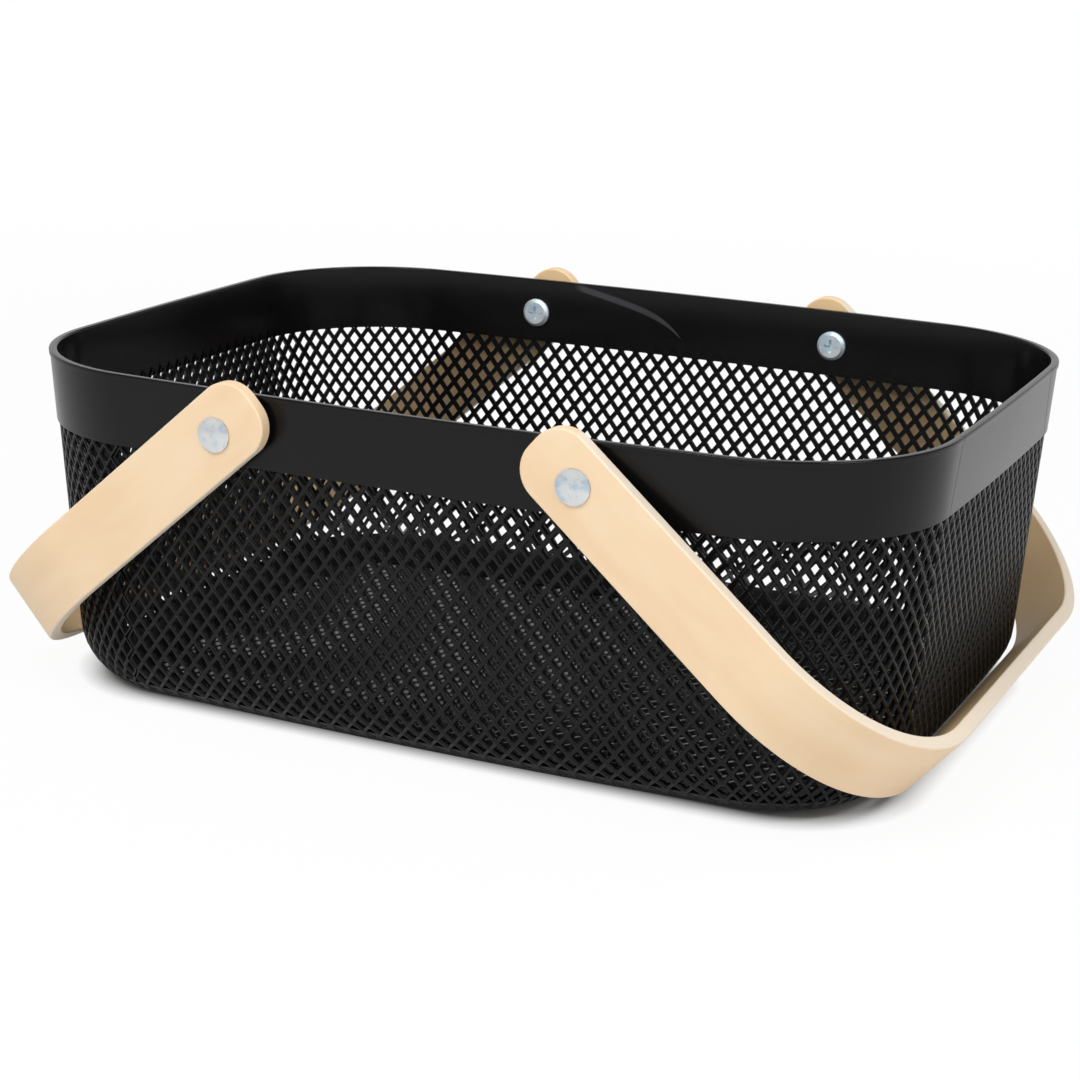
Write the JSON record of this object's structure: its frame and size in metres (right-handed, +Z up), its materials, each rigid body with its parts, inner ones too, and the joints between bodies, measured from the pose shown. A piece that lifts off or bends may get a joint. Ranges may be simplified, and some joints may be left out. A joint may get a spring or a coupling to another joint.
{
  "type": "mesh basket with swinging wooden handles",
  "caption": "Low open basket with a plain rim band, mesh walls, rounded corners and base edge, and bentwood bail handles that hang outside its ends and swing up to meet.",
  "frame": {"origin": "on the surface that the basket stands on, under the middle of its base", "axes": "+Z up out of the basket's mouth, +X along its length towards the right handle's end, +Y towards the back long side"},
  "size_m": [0.404, 0.2956, 0.145],
  "materials": {
    "black_moulding": "satin black moulded polypropylene",
    "light_wood": "clear-lacquered light bentwood, fine straight grain, sanded edges",
    "zinc_plate": "bright zinc plate with a faint blue tint"
  },
  "bodies": {
    "basket": {"basket_body": "black_moulding", "left_front_barrel_nut": "zinc_plate", "left_back_barrel_nut": "zinc_plate", "right_front_barrel_nut": "zinc_plate", "right_back_barrel_nut": "zinc_plate", "left_front_screw": "zinc_plate", "left_back_screw": "zinc_plate", "right_front_screw": "zinc_plate", "right_back_screw": "zinc_plate"},
    "left_bail": {"left_handle": "light_wood"},
    "right_bail": {"right_handle": "light_wood"}
  },
  "joints": [
    {"name": "left_handle_swing", "type": "hinge", "parent": "basket", "child": "left_bail", "pos_m": [-0.0735, 0, 0.1247], "axis": [0, 1, 0], "range_deg": [0, 153]},
    {"name": "right_handle_swing", "type": "hinge", "parent": "basket", "child": "right_bail", "pos_m": [0.0735, 0, 0.1247], "axis": [0, -1, 0], "range_deg": [0, 153]}
  ]
}
